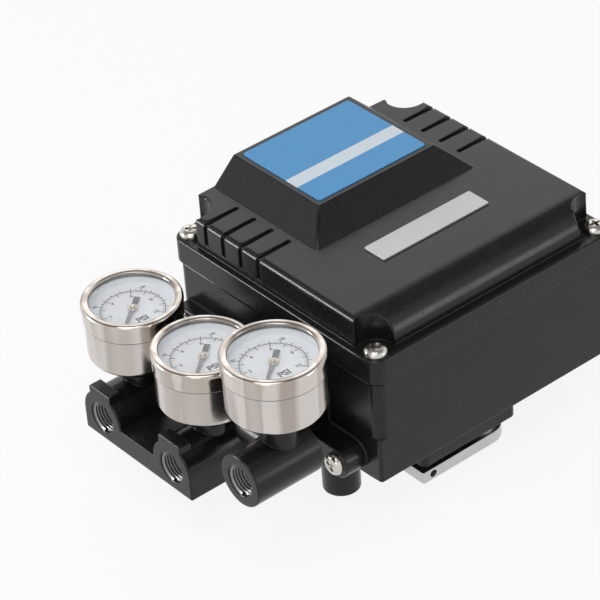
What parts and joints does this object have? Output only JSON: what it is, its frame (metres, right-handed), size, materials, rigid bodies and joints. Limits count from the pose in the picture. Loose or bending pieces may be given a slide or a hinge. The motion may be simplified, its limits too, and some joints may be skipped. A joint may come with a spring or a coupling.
{
  "type": "valve positioner",
  "caption": "Pneumatic valve positioner: black cast housing with a domed screwed cover, side ports with pressure gauges, and a feedback lever under its base.",
  "frame": {"origin": "centre of the four tapped mounting feet, on the plane of their ends", "axes": "+Z out of the cover, -X out of the air ports, -Y towards the feedback lever"},
  "size_m": [0.188, 0.1328, 0.1101],
  "materials": {
    "black_paint": "semi-gloss black paint on die-cast aluminium",
    "gasket_rubber": "matte black",
    "nickel_screw": "bright nickel plate",
    "label_blue": "printed blue with a white band",
    "plate_silver": "satin silver",
    "nickel_brass": "nickel-plated brass",
    "gauge_steel": "polished stainless steel",
    "brass": "turned brass",
    "dial_white": "white enamel with black marks",
    "window_glass": "clear",
    "pointer_black": "black enamel",
    "shaft_steel": "ground stainless steel",
    "plated_sheet": "zinc-plated sheet steel",
    "aluminium": "milled",
    "knob_plastic": "black",
    "copper": "drawn copper tube"
  },
  "bodies": {
    "root": {"housing": "black_paint", "cover_gasket": "gasket_rubber", "cover": "black_paint", "cover_screws": "nickel_screw", "label_plate": "label_blue", "name_plate": "plate_silver", "port_block_gasket": "gasket_rubber", "port_block": "black_paint", "port_block_screws": "nickel_screw", "signal_port_gasket": "gasket_rubber", "signal_port": "black_paint", "signal_port_screws": "nickel_screw", "gauge_1_socket": "nickel_brass", "gauge_1_case": "gauge_steel", "gauge_1_movement": "brass", "gauge_1_dial": "dial_white", "gauge_1_window": "window_glass", "gauge_1_bezel": "gauge_steel", "gauge_2_socket": "nickel_brass", "gauge_2_case": "gauge_steel", "gauge_2_movement": "brass", "gauge_2_dial": "dial_white", "gauge_2_window": "window_glass", "gauge_2_bezel": "gauge_steel", "gauge_3_socket": "nickel_brass", "gauge_3_case": "gauge_steel", "gauge_3_movement": "brass", "gauge_3_dial": "dial_white", "gauge_3_window": "window_glass", "gauge_3_bezel": "gauge_steel", "shaft_bush": "brass", "shaft_seal": "gasket_rubber", "mechanism_plate": "plated_sheet", "plate_screws": "nickel_screw", "beam_pin": "shaft_steel", "feedback_spring": "shaft_steel", "nozzle_bracket": "plated_sheet", "nozzle": "brass", "bellows_bracket": "plated_sheet", "signal_bellows": "brass", "pilot_body": "aluminium", "pilot_caps": "aluminium", "signal_tube": "copper", "supply_tube": "copper", "output_tube": "copper"},
    "feedback": {"feedback_shaft": "shaft_steel", "feedback_arm": "shaft_steel", "arm_screw": "nickel_screw", "feedback_lever": "shaft_steel", "lever_washer": "nickel_screw", "lever_nut": "nickel_screw"},
    "pointer_1": {"gauge_1_pointer": "pointer_black"},
    "pointer_2": {"gauge_2_pointer": "pointer_black"},
    "pointer_3": {"gauge_3_pointer": "pointer_black"},
    "beam": {"balance_beam": "aluminium"},
    "spool": {"pilot_spool": "shaft_steel"},
    "zero_adjuster": {"zero_knob": "knob_plastic"}
  },
  "joints": [
    {"name": "lever_swing", "type": "hinge", "parent": "root", "child": "feedback", "pos_m": [-0.002, -0.05, 0.0133], "axis": [0, 0, 1], "range_deg": [-30, 30], "deforming": ["feedback_spring"]},
    {"name": "pointer_1_turn", "type": "hinge", "parent": "root", "child": "pointer_1", "pos_m": [-0.1016, 0.0432, 0.077], "axis": [0, 0, -1], "range_deg": [0, 270]},
    {"name": "pointer_2_turn", "type": "hinge", "parent": "root", "child": "pointer_2", "pos_m": [-0.1016, -0.0022, 0.077], "axis": [0, 0, -1], "range_deg": [0, 270]},
    {"name": "pointer_3_turn", "type": "hinge", "parent": "root", "child": "pointer_3", "pos_m": [-0.1016, -0.0476, 0.098], "axis": [0, 0, -1], "range_deg": [0, 270]},
    {"name": "beam_tilt", "type": "hinge", "parent": "root", "child": "beam", "pos_m": [-0.033, 0.008, 0.048], "axis": [0, 0, 1], "range_deg": [-0.5, 0.5]},
    {"name": "spool_slide", "type": "slide", "parent": "root", "child": "spool", "axis": [0, 1, 0], "range_m": [-0.0015, 0.0015]},
    {"name": "zero_turn", "type": "hinge", "parent": "root", "child": "zero_adjuster", "pos_m": [0.012, 0.008, 0.044], "axis": [0, 0, 1], "range_deg": [-180, 180]}
  ]
}
